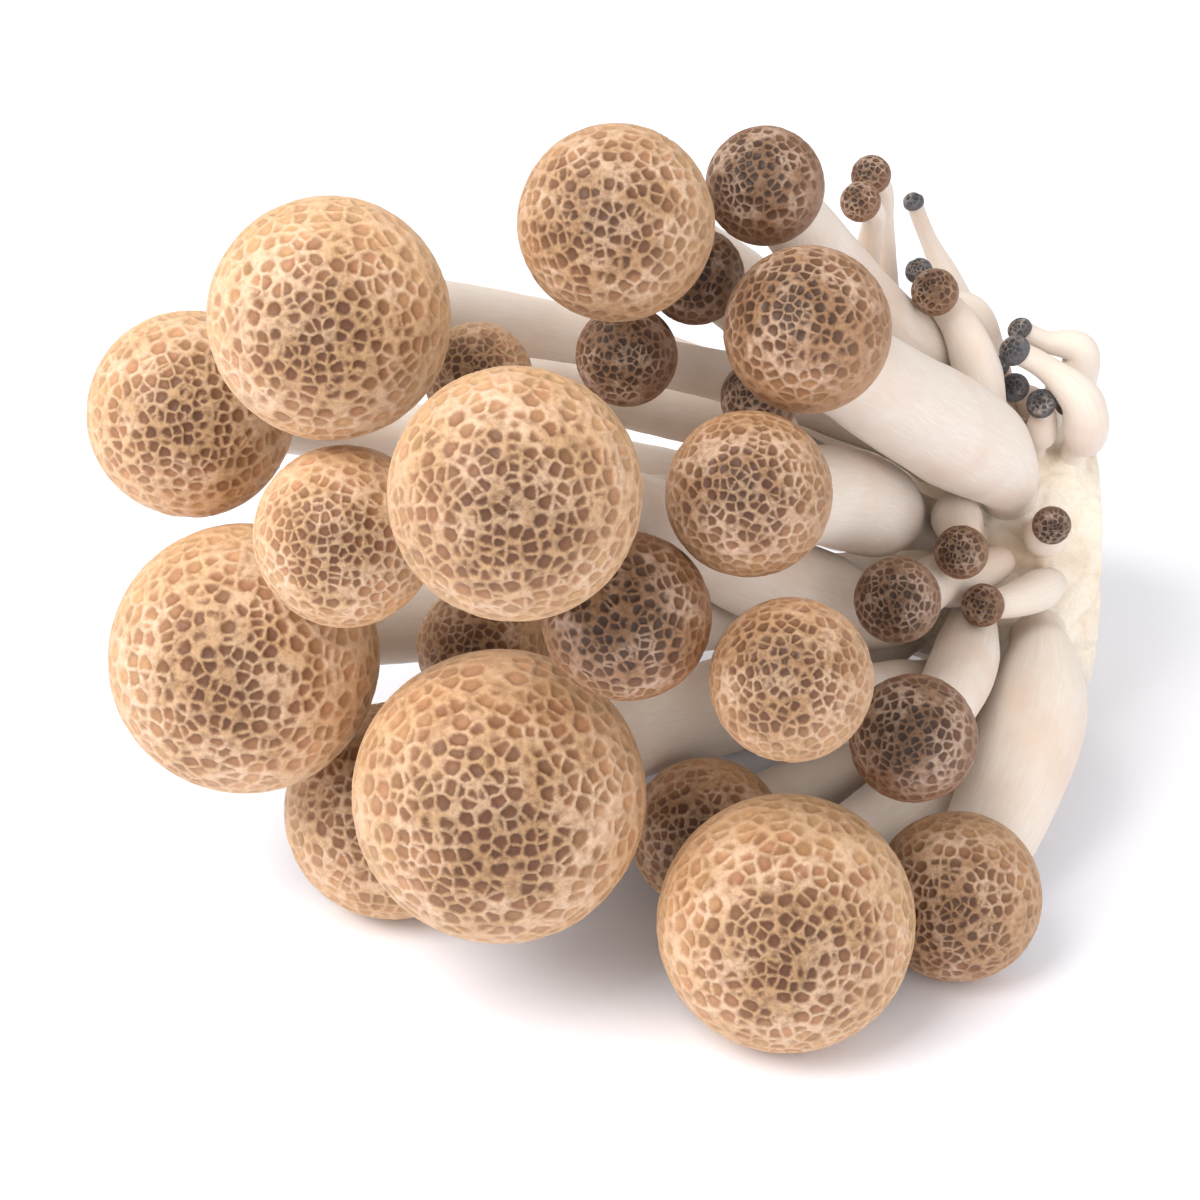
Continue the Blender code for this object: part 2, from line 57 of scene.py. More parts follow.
# Cap skin
SKIN_STEP, FINEST_STEP = 0.28, 0.12  # between the skin's points
STEP_SHARE = 0.04  # of the radius, on small caps
DOME_POINTS = 48
RIM_ROLL = (
    (0.953, -0.31), (0.94, -0.325), (0.915, -0.325), (0.895, -0.30),
    (0.875, -0.24), (0.85, -0.18), (0.80, -0.15),
)
CELL_BASE, CELL_GROWTH = 0.60, 0.105  # a net cell's width: the same on all caps, and a share of the radius
CROWDING, CROWD_ANGLE = 0.40, math.radians(42)  # how much closer cells are at the crown, and how far out
NET_FADE = 0.93  # the share of the way from the crown to the rim where the net's relief starts to fade
NET_DEPTH = 0.13  # of a cell in its middle, as a share of its width
PIT_SIDE = 0.7  # its depth at its side, as a share of that
NET_WAVER, WAVER_SCALE = 0.20, 2.0  # how far the threads waver, and how finely
CELL_DISORDER = 0.8  # from 0, an even grid, to 1
THREAD_WIDTH = (0.0, 0.20)  # from a thread's middle to the cell, as shares of a cell's width
CELL_ROUND = (0.44, 0.72)  # from a cell's middle, where its corners fill up
SWELL, SWELL_SCALE = 0.012, 1.1  # how far a cap is from round, as a share of its radius, and how broadly
SWELL_LEVEL = 0.75  # the noise that leaves the surface where it is

# The skin's pattern: its three noises as spots in a cell's width, and its zones as angles from the
# crown, in radians
BLOTCH_SCALE, MOTTLE_SCALE, SPECK_SCALE = 0.28, 1.9, 6.0
BLOTCH_PUSH = (-0.45, 0.45)  # how far the blotches move the edges of the crown and the rim
CROWN_REACH = (0.1, 1.25)
CROWN_SHADE, CROWN_WARMTH = 0.56, (1.15, 1.4)  # the brightness there, and how green and blue follow
RIM_REACH, RIM_PALENESS = (0.65, 1.5), 0.8
EDGE_REACH, EDGE_PALENESS = (1.45, 1.72), 0.7
PAINTED_HIGHLIGHT, PAINTED_HIGHLIGHT_COLOUR = 0.35, (0.76, 0.61, 0.52, 1.0)  # painted highlight: the pale pinkish patches on parts of the net
# How far from the crown the painted highlight reaches, in radians, and the blotches it shows in
PAINTED_HIGHLIGHT_REACH, PAINTED_HIGHLIGHT_BLOTCHES = (0.9, 1.5), (0.42, 0.62)
FRAYING, THREAD_STRENGTH = (0.30, 0.62), (0.50, 0.95)  # threads show more where the skin is mottled
CELL_LIGHTNESS, CELL_GREEN = (0.84, 1.12), (1.03, 0.93)  # from one cell to another
CELL_MIDDLE, PAINTED_PIT_SHADE = (0.12, 0.42), (1.06, 0.88)  # and from each one's middle to its side: painted shade, lighter in the middle and darker at the side by the threads
MOTTLING, SPECKING = (0.63, 0.87), 0.5  # of the skin's brightness
SKIN_ROUGHNESS, SPECK_HEIGHT = (0.42, 0.62), 0.6

# How far each cap is from its skin's old colours to its young ones, the largest cap first
DARKNESS = (
    0.20, 0.05, 0.15, 0.25, 0.05, 0.10, 0.00, 0.45, 0.00, 0.65, 1.00, 0.50, 0.90, 0.70, 0.50,
    0.40, 0.60, 0.50, 0.50, 0.45, 0.60, 0.65, 0.60, 0.60, 0.55, 0.65, 0.50, 0.70,
)
TAN_SKINS = (*range(1, 17), 19)

# Skin colours, as they show on a screen: of the net's cells, its threads, and the cells at the crown
# and at the rim
SKINS = {
    "tan": ((184, 138, 100), (218, 182, 144), (124, 83, 57), (212, 174, 130)),
    "brown": ((106, 74, 52), (166, 128, 98), (76, 52, 38), (158, 115, 78)),
    "dark": ((78, 56, 44), (126, 97, 79), (58, 43, 36), (104, 74, 54)),
    "inky": ((62, 68, 78), (92, 96, 104), (48, 54, 66), (100, 92, 88)),
}
SKIN_PARTS = ("Cell", "Net", "Crown", "Rim")

# Flesh colours: of the flesh, its streaks and its blush
FLESH_PARTS = ("Base", "Streak", "Blush")
STEM_COLOURS = ((226, 214, 203), (234, 226, 218), (220, 197, 180))
GILL_COLOURS = ((240, 226, 204), (246, 236, 220), (224, 200, 170))
BUTT_COLOURS = ((238, 227, 210), (248, 242, 232), (216, 190, 158))

SHINE = 0.35  # of skin and flesh
LIGHT_DEPTH, LIGHT_REACH = 3.0, (1.0, 0.55, 0.3)  # how deep light goes into flesh, and each colour's share

# The flesh's pattern: where each noise shows, and how strongly
FINE_SCALE, STREAKS, STREAK_STRENGTH = 3.2, (0.35, 0.72), 0.75
BROAD_SCALE, BANDS, BAND_STRENGTH, BAND_HEIGHT = 0.8, (0.55, 0.8), 0.4, 0.6
CLOUD_SCALE, CLOUDS, CLOUD_STRENGTH = 120.0, (0.42, 0.75), 0.65  # the scale is per metre
FLESH_ROUGHNESS = (0.45, 0.70)

# Gills. A row says how many long ones caps of at least this radius have
GILLS = ((9.5, 64), (7.0, 48), (4.0, 34), (2.5, 24), (0.0, 16))
GILL_THICK = 0.22
GILL_OUT, GILL_SUNK = 0.885, 0.02  # how far out they reach, and into the stem, as shares of the radius
SHORT_START = 0.45  # how far along a long gill a short one starts
GILL_SHAKE = 0.12  # how far each one is out of line, as a share of the way to the next
SHORTEST_GILL = 0.9  # the height of the lowest ones, as a share of the highest
GILL_GRAIN = 2.5  # the width of their fibres' pattern

# A gill's outline: how far along its length, from 0 to 1, and how far up, as a share of the radius
GILL_OUTLINE = ((0.0, -0.14), (0.35, -0.20), (0.75, -0.27), (1.0, -0.275), (1.0, -0.15), (0.0, -0.06))

# Stems
STEM_SIDES, PIN_SIDES = 36, 24
STEM_STEP, PIN_STEP = 0.7, 0.4
STEM_UNEVEN, PIN_UNEVEN = 1.0, 0.5  # how strongly fibres and lumps show in their shape
STEM_LEVEL = 0.6  # the noise that leaves the surface where it is
SUNK_IN_CAP, SUNK_AT_MOST = 1.6, 0.3  # the second as a share of the cap's radius
SPREAD_IN_CAP = 1.06  # how much wider a stem is there than where it meets the cap
FLARE = 1.12  # of the root where it meets the butt
FIBRE_WIDTH, FIBRE_LENGTH, FIBRE_DEPTH = 0.75, 9.0, 0.05
FIBRE_ROUND = 5.0  # the radius of stem at which the fibres have that width
LUMP_WIDTH, LUMP_DEPTH = 7.0, 0.22

# The butt: every stem's last stretch points at its heart, from the same way off
ROOT_TO_HEART = 19.5
FEET_REACH = 19.3  # the farthest the butt itself goes from its heart, without the pins
END_FROM_HEART = 15.0  # where the stems end, sunk in the butt
BUTT_FINENESS = 7
BUTT_EASING = 5
EASING_SHARE = 0.5  # how far each point goes to its neighbours' middle
CREASE_WIDTH, CREASE_DEPTH = 4.2, 0.45  # how far apart the seams between the stems' feet are
SEAM_WIDTH = 0.3  # of a seam, as a share of that
GRAIN_WIDTH, GRAIN_DEPTH = 1.1, 0.16

# Pins: each one's solid ends in a small flat tip with this many corners, then the rings of its
# head, then those of its stem
PIN_CORNERS, HEAD_RINGS, PIN_RINGS = 6, 4, 8
WIDEST_RING, RING_AFTER = 2, 3
YOUNGEST = 1.6  # pins with smaller heads are inky, the others brown
INKY, BROWN = 0.9, 0.1  # how dark they are
PIN_HEIGHT, PIN_RIM = 0.75, math.radians(104)
PIN_ROLL = ((0.93, -0.28), (0.86, -0.30), (0.6, -0.2))
PIN_HEAD, PIN_NECK = 1.1, 0.88  # widths of its skin and of its stem under that, as shares of its head

# Camera and stage, round the middle of the cluster as the camera sees it. A way is the degrees
# turned from -Y towards +X, then those above level
VIEW_WAY, DISTANCE = (30, 33), 320.0
LOOK_FROM_HEART = (-19.0, -59.0, 20.0)
LENS, SENSOR = 102.0, 36.0
NEAREST_SEEN, FARTHEST_SEEN = 0.01, 20.0  # metres
FLOOR_HALF = 3.0  # metres
FLOOR_COLOUR, FLOOR_ROUGHNESS, FLOOR_SHINE = (0.90, 0.92, 1.0, 1.0), 0.7, 0.2
SKY_COLOUR, SKY_STRENGTH = (1.0, 0.985, 0.965, 1.0), 0.78

# Lights: the way each comes from, its distance and width in metres, watts and colour
LIGHTS = {
    "window": ((-25, 52), 0.6, 0.4, 4.0, (1.0, 0.955, 0.90)),
    "fill": ((60, 25), 0.7, 0.5, 1.3, (1.0, 0.95, 0.90)),
}


def tint(red, green, blue):
    """A colour given as it shows on a screen, from 0 to 255, as the shader takes it."""
    values = [part / 255 for part in (red, green, blue)]
    linear = [value / 12.92 if value <= 0.04045 else ((value + 0.055) / 1.055) ** 2.4 for value in values]
    return (*linear, 1.0)


def facing(turn, lift):
    """The unit vector that is turn degrees from -Y towards +X and lift degrees above level."""
    turn, lift = math.radians(turn), math.radians(lift)
    return Vector((math.sin(turn) * math.cos(lift), -math.cos(turn) * math.cos(lift), math.sin(lift)))


# Node trees

class Tree:
    """A node tree that is written down as the values it works out."""

    def __init__(self, tree):
        self.tree = tree
        self.inputs = None
        self.end = None

    def add(self, kind, inputs=(), **settings):
        node = self.tree.nodes.new(kind)
        for key, value in settings.items():
            setattr(node, key, value)
        for key, value in dict(inputs).items():
            if value is not None:
                self.feed(node.inputs[key], value)
        return node

    def feed(self, socket, value):
        if isinstance(value, bpy.types.NodeSocket):
            self.tree.links.new(value, socket)
        else:
            socket.default_value = value

    def math(self, operation, first, second=None, third=None):
        values = {0: first, 1: second, 2: third}
        return self.add("ShaderNodeMath", values, operation=operation).outputs[0]

    def vector(self, operation, first, second=None, scale=None):
        values = {0: first, 1: second, "Scale": scale}
        return self.add("ShaderNodeVectorMath", values, operation=operation).outputs["Vector"]

    def join(self, x=0.0, y=0.0, z=0.0):
        return self.add("ShaderNodeCombineXYZ", {"X": x, "Y": y, "Z": z}).outputs[0]

    def split(self, vector):
        return self.add("ShaderNodeSeparateXYZ", {0: vector}).outputs

    def ramp(self, value, low, high, start=0.0, end=1.0):
        """The value eased from start, where it is at low, to end, where it is at high."""
        values = {"Value": value, "From Min": low, "From Max": high, "To Min": start, "To Max": end}
        return self.add("ShaderNodeMapRange", values, interpolation_type="SMOOTHSTEP").outputs["Result"]

    def between(self, share, ends):
        """The value that is the first end where share is 0, and the second where it is 1."""
        return self.math("MULTIPLY_ADD", share, ends[1] - ends[0], ends[0])

    def noise(self, place, scale, detail=2.0, roughness=0.5, output="Fac"):
        values = {"Vector": place, "Scale": scale, "Detail": detail, "Roughness": roughness}
        return self.add("ShaderNodeTexNoise", values).outputs[output]

    def random(self, least, most, index, seed):
        values = {2: least, 3: most, "ID": index, "Seed": seed}
        return self.add("FunctionNodeRandomValue", values).outputs[1]

    def alike(self, value):
        return self.join(value, value, value)

    def mix(self, factor, first, second, blend="MIX"):
        values = {0: factor, 6: first, 7: second}
        return self.add("ShaderNodeMix", values, data_type="RGBA", blend_type=blend).outputs[2]


def new_tree(name, kind, inputs, outputs):
    """A node group with the named inputs and outputs. Inputs are (name, socket, default) rows."""
    tree = bpy.data.node_groups.new(name, kind)
    for label, socket, value in inputs:
        made = tree.interface.new_socket(label, in_out="INPUT", socket_type=socket)
        if value is not None:
            made.default_value = value
    for label, socket in outputs:
        tree.interface.new_socket(label, in_out="OUTPUT", socket_type=socket)
    build = Tree(tree)
    build.inputs = tree.nodes.new("NodeGroupInput").outputs
    build.end = tree.nodes.new("NodeGroupOutput").inputs
    return build


def net_cells(build, place):
    """The net that the skin's relief and its colour share: 1 well inside a cell and 0 on a
    thread, then the way to the cell's middle, and numbers of each cell's own."""
    values = {"Vector": place, "Scale": 1.0, "Randomness": CELL_DISORDER}
    edge = build.add("ShaderNodeTexVoronoi", values, feature="DISTANCE_TO_EDGE").outputs["Distance"]
    cell = build.add("ShaderNodeTexVoronoi", values, feature="F1").outputs
    round_cell = build.ramp(cell["Distance"], CELL_ROUND[0], CELL_ROUND[1], 1.0, 0.0)
    inside = build.math("MULTIPLY", build.ramp(edge, *THREAD_WIDTH), round_cell)
    return inside, cell["Distance"], build.split(cell["Color"])


def run_tree(name, tree, values, source=None):
    """The plain mesh that a geometry tree makes with these values, from a source object's shape."""
    holder = source or bpy.data.objects.new(name, bpy.data.meshes.new(name))
    if holder.name not in bpy.context.collection.objects:
        bpy.context.collection.objects.link(holder)
    modifier = holder.modifiers.new("tree", "NODES")
    modifier.node_group = tree
    sockets = {item.name: item.identifier for item in tree.interface.items_tree if item.in_out == "INPUT"}
    for label, value in values.items():
        modifier[sockets[label]] = value
    bpy.context.view_layer.update()
    graph = bpy.context.evaluated_depsgraph_get()
    mesh = bpy.data.meshes.new_from_object(holder.evaluated_get(graph), depsgraph=graph)
    bpy.data.objects.remove(holder, do_unlink=True)
    mesh.name = name
    return mesh


def finish_piece(name, mesh, nodes=()):
    """A finished mesh as a piece that rides with the cluster."""
    piece = bpy.data.objects.new(name, mesh)
    bpy.context.collection.objects.link(piece)
    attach(piece, "root")
    if nodes:
        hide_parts(*nodes)
    return piece


def drop(*objects):
    for obj in objects:
        bpy.data.objects.remove(obj, do_unlink=True)


# Reading the solids

def merged_copy(node):
    """A solid's shape with its loose triangles joined."""
    bm = bmesh.new()
    bm.from_mesh(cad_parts[node].data)
    bmesh.ops.remove_doubles(bm, verts=bm.verts[:], dist=MERGE)
    bm.normal_update()
    return bm


def flat_spot(start):
    """The faces that lie in one plane with a face and hang together with it, always in one order."""
    spot, waiting = {start: True}, [start]
    while waiting:
        face = waiting.pop()
        for near in [near for edge in face.edges for near in edge.link_faces]:
            if near not in spot and near.normal.dot(start.normal) > SAME_PLANE:
                spot[near] = True
                waiting.append(near)
    return list(spot)


def corners_of(faces):
    """The corners of some faces, each once and always in one order."""
    return list(dict.fromkeys(vert for face in faces for vert in face.verts))


def read_cap(number):
    """A cap's middle, the way it faces, its radius and its joint's radius, from its solid."""
    bm = merged_copy(f"cap_{number:02d}")
    seen = set()
    joint, widest = None, 0.0
    for start in bm.faces:
        spot = flat_spot(start) if start not in seen else []
        seen.update(spot)
        area = sum(face.calc_area() for face in spot)
        if area > widest:
            joint, widest = spot, area
    corners = corners_of(joint)
    disc = sum((vert.co for vert in corners), Vector()) / len(corners)
    axis = -joint[0].normal.copy()
    reach = [vert.co - disc for vert in bm.verts]
    radius = max((way - axis * way.dot(axis)).length for way in reach)
    hole = max((vert.co - disc).length for vert in corners)
    bm.free()
    centre = disc + axis * JOINT_DEPTH * radius
    return {"centre": centre, "axis": axis, "radius": radius, "joint": hole, "disc": disc}


def rings_from(first):
    """A tube's rings of corners, from the ring given on to its other end."""
    rings, seen = [first], set(first)
    while rings[-1]:
        near = dict.fromkeys(edge.other_vert(vert) for vert in rings[-1] for edge in vert.link_edges)
        following = [vert for vert in near if vert not in seen]
        seen.update(following)
        rings.append(following)
    return rings[:-1]


def course_of(rings):
    """The middle and the radius of each ring."""
    course = []
    for ring in rings:
        middle = sum((vert.co for vert in ring), Vector()) / len(ring)
        course.append((middle, max((vert.co - middle).length for vert in ring)))
    return course


def read_stem(number, cap):
    """A stem's middles and radii, from the cap to the root."""
    bm = merged_copy(f"stem_{number:02d}")
    start = min(bm.faces, key=lambda face: (face.calc_center_median() - cap["disc"]).length)
    course = course_of(rings_from(corners_of(flat_spot(start))))
    bm.free()
    return course


def read_heart(courses):
    """The butt's heart, where the last stretches of all the stems point."""
    aims = []
    for course in courses:
        before, last = course[-2][0], course[-1][0]
        aims.append(last + (last - before).normalized() * ROOT_TO_HEART * MM)
    return sum(aims, Vector()) / len(aims)


def read_pins(heart):
    """Each pin's head and its stem's course, from the head to the root, from the butt's solid."""
    bm = merged_copy("butt")
    left = {face for face in bm.faces if (face.calc_center_median() - heart).length > FEET_REACH * MM}
    found = []
    for start in sorted(left, key=lambda face: face.index):
        spot = flat_spot(start) if start in left else []
        left -= set(spot)
        tip = corners_of(spot)
        if len(tip) != PIN_CORNERS:
            continue
        rings = [ring for ring in rings_from(tip)[:PIN_RINGS] if len(ring) == PIN_CORNERS]
        if len(rings) <= HEAD_RINGS:
            continue
        course = course_of(rings)
        centre = (course[WIDEST_RING][0] + course[RING_AFTER][0]) / 2
        head = {"centre": centre, "axis": start.normal.copy(), "radius": course[WIDEST_RING][1]}
        found.append((head, course[HEAD_RINGS:]))
    bm.free()
    return found


def sunk_root(root, heart):
    """A stem's end inside the butt, under its root."""
    return heart + (root[0] - heart).normalized() * END_FROM_HEART * MM, root[1] * FLARE


# Shader groups

SURFACE_OUTPUTS = (
    ("Colour", "NodeSocketColor"), ("Roughness", "NodeSocketFloat"), ("Height", "NodeSocketFloat"),
)


def cell_tone_and_pit_shade(build, from_middle, own):
    """Each cell's own lightness and hue, with painted shade that darkens it from its middle to its side by
    the threads, as a colour to multiply with.
    """
    # Painted shade of each pit: lighter in its middle, darker at its side by the threads
    ring = build.ramp(from_middle, *CELL_MIDDLE, *PAINTED_PIT_SHADE)
    shade = build.math("MULTIPLY", build.between(own[0], CELL_LIGHTNESS), ring)
    green = build.math("MULTIPLY", shade, build.between(own[1], CELL_GREEN))
    return build.join(shade, green, shade)


def skin_dusk(build, away, mottle, speck):
    """How much the skin is darkened: unevenly all over, and most and warmest at the crown."""
    grain = build.math("ADD", build.math("MULTIPLY", speck, SPECKING), build.between(mottle, MOTTLING))
    dusk = build.math("MULTIPLY", grain, build.ramp(away, 0.0, CROWN_REACH[1], CROWN_SHADE, 1.0))
    green, blue = (build.math("POWER", dusk, power) for power in CROWN_WARMTH)
    return build.join(dusk, green, blue)


def build_net_group():
    """The netted skin: cells round the crown are darker and closer, and the net fades to the rim."""
    inputs = [
        ("Place", "NodeSocketVector", None), ("From Crown", "NodeSocketFloat", 0.0),
        ("Darkness", "NodeSocketFloat", 0.0),
    ]
    for age in ("Old", "Young"):
        for part in SKIN_PARTS:
            inputs.append((f"{age} {part}", "NodeSocketColor", None))
    build = new_tree("netted skin", "ShaderNodeTree", inputs, SURFACE_OUTPUTS)
    given = build.inputs
    place = given["Place"]
    colours = {
        part: build.mix(given["Darkness"], given[f"Old {part}"], given[f"Young {part}"])
        for part in SKIN_PARTS
    }
    blotch = build.noise(place, BLOTCH_SCALE, 2.0)
    mottle = build.noise(place, MOTTLE_SCALE, 3.0, 0.6)
    speck = build.noise(place, SPECK_SCALE, 3.0, 0.65)
    within, from_middle, own = net_cells(build, place)
    threads = build.math("SUBTRACT", 1.0, within)
    away = build.math("ADD", given["From Crown"], build.between(blotch, BLOTCH_PUSH))
    crown = build.ramp(away, *CROWN_REACH, 1.0, 0.0)
    rim = build.ramp(away, *RIM_REACH, 0.0, RIM_PALENESS)
    inside = build.mix(crown, colours["Cell"], colours["Crown"])
    inside = build.mix(rim, inside, colours["Rim"])
    inside = build.mix(1.0, inside, cell_tone_and_pit_shade(build, from_middle, own), "MULTIPLY")
    # Painted highlight: pale pinkish patches on the threads near the crown, in blotches
    near_crown = build.ramp(given["From Crown"], *PAINTED_HIGHLIGHT_REACH, 1.0, 0.0)
    painted_highlight = build.math("MULTIPLY", build.ramp(blotch, *PAINTED_HIGHLIGHT_BLOTCHES), near_crown)
    net = build.mix(build.math("MULTIPLY", painted_highlight, PAINTED_HIGHLIGHT), colours["Net"], PAINTED_HIGHLIGHT_COLOUR)
    frayed = build.ramp(mottle, *FRAYING, *THREAD_STRENGTH)
    colour = build.mix(build.math("MULTIPLY", threads, frayed), inside, net)
    edge = build.ramp(given["From Crown"], *EDGE_REACH, 0.0, EDGE_PALENESS)
    colour = build.mix(edge, colour, colours["Net"])
    colour = build.mix(1.0, colour, skin_dusk(build, away, mottle, speck), "MULTIPLY")
    build.feed(build.end["Colour"], colour)
    build.feed(build.end["Roughness"], build.between(mottle, SKIN_ROUGHNESS))
    build.feed(build.end["Height"], build.math("ADD", threads, build.math("MULTIPLY", speck, SPECK_HEIGHT)))
    return build.tree


def build_fibre_group():
    """Fibres that run along a stem or a gill, with a faint blush and paler streaks."""
    inputs = (
        ("Grain", "NodeSocketVector", None), ("Place", "NodeSocketVector", None),
        ("Base", "NodeSocketColor", None), ("Streak", "NodeSocketColor", None),
        ("Blush", "NodeSocketColor", None),
    )
    build = new_tree("fibrous flesh", "ShaderNodeTree", inputs, SURFACE_OUTPUTS)
    given = build.inputs
    fine = build.noise(given["Grain"], FINE_SCALE, 4.0, 0.62)
    broad = build.noise(given["Grain"], BROAD_SCALE, 2.0)
    cloud = build.noise(given["Place"], CLOUD_SCALE, 3.0, 0.55)
    colour = build.mix(build.ramp(fine, *STREAKS, 0.0, STREAK_STRENGTH), given["Base"], given["Streak"])
    colour = build.mix(build.ramp(cloud, *CLOUDS, 0.0, CLOUD_STRENGTH), colour, given["Blush"])
    colour = build.mix(build.ramp(broad, *BANDS, 0.0, BAND_STRENGTH), colour, given["Blush"])
    build.feed(build.end["Colour"], colour)
    build.feed(build.end["Roughness"], build.between(fine, FLESH_ROUGHNESS))
    build.feed(build.end["Height"], build.math("ADD", fine, build.math("MULTIPLY", broad, BAND_HEIGHT)))
    return build.tree


def surface(name, group, attributes, colours, bump, height, subsurface=0.0):
    """A material whose colour, roughness and bump come from one shader group."""
    material = bpy.data.materials.new(name)
    material.use_nodes = True
    build = Tree(material.node_tree)
    shader = material.node_tree.nodes["Principled BSDF"]
    inputs = {}
    for label, source in attributes.items():
        if source == "object":
            inputs[label] = build.add("ShaderNodeTexCoord").outputs["Object"]
        else:
            kind = "Vector" if source in ("net_place", "grain") else "Fac"
            inputs[label] = build.add("ShaderNodeAttribute", attribute_name=source).outputs[kind]
    look = build.add("ShaderNodeGroup", node_tree=group)
    for label, value in {**inputs, **colours}.items():
        build.feed(look.inputs[label], value)
    heights = {"Strength": bump, "Distance": height * MM, "Height": look.outputs["Height"]}
    raised = build.add("ShaderNodeBump", heights)
    build.feed(shader.inputs["Base Color"], look.outputs["Colour"])
    build.feed(shader.inputs["Roughness"], look.outputs["Roughness"])
    build.feed(shader.inputs["Normal"], raised.outputs["Normal"])
    shader.inputs["Specular IOR Level"].default_value = SHINE
    if subsurface:
        shader.inputs["Subsurface Weight"].default_value = subsurface
        shader.inputs["Subsurface Radius"].default_value = LIGHT_REACH
        shader.inputs["Subsurface Scale"].default_value = LIGHT_DEPTH * MM
    return material


def skin_colours(old, young):
    """The net group's colours for a skin that goes from one of the SKINS to another."""
    colours = {}
    for age, kind in (("Old", old), ("Young", young)):
        for part, colour in zip(SKIN_PARTS, SKINS[kind]):
            colours[f"{age} {part}"] = tint(*colour)
    return colours


def flesh_colours(colours):
    return {part: tint(*colour) for part, colour in zip(FLESH_PARTS, colours)}


def make_materials():
    """Each material: its name, group, attributes, colours, the bump's strength and height, and how
    much light goes into it."""
    net, fibre = build_net_group(), build_fibre_group()
    spots = {"Place": "net_place", "From Crown": "from_crown", "Darkness": "darkness"}
    lengths = {"Grain": "grain", "Place": "object"}
    tan, brown = skin_colours("tan", "brown"), skin_colours("brown", "dark")
    inky = skin_colours("dark", "inky")
    stem, gill, butt = (flesh_colours(group) for group in (STEM_COLOURS, GILL_COLOURS, BUTT_COLOURS))
    return {
        "tan": surface("tan skin", net, spots, tan, 0.35, 0.06),
        "brown": surface("brown skin", net, spots, brown, 0.35, 0.06),
        "inky": surface("pin skin", net, spots, inky, 0.3, 0.04),
        "stem": surface("stem flesh", fibre, lengths, stem, 0.3, 0.05, 0.12),
        "gill": surface("gill flesh", fibre, lengths, gill, 0.2, 0.03, 0.1),
        "butt": surface("butt flesh", fibre, lengths, butt, 0.5, 0.12, 0.1),
    }


# Caps

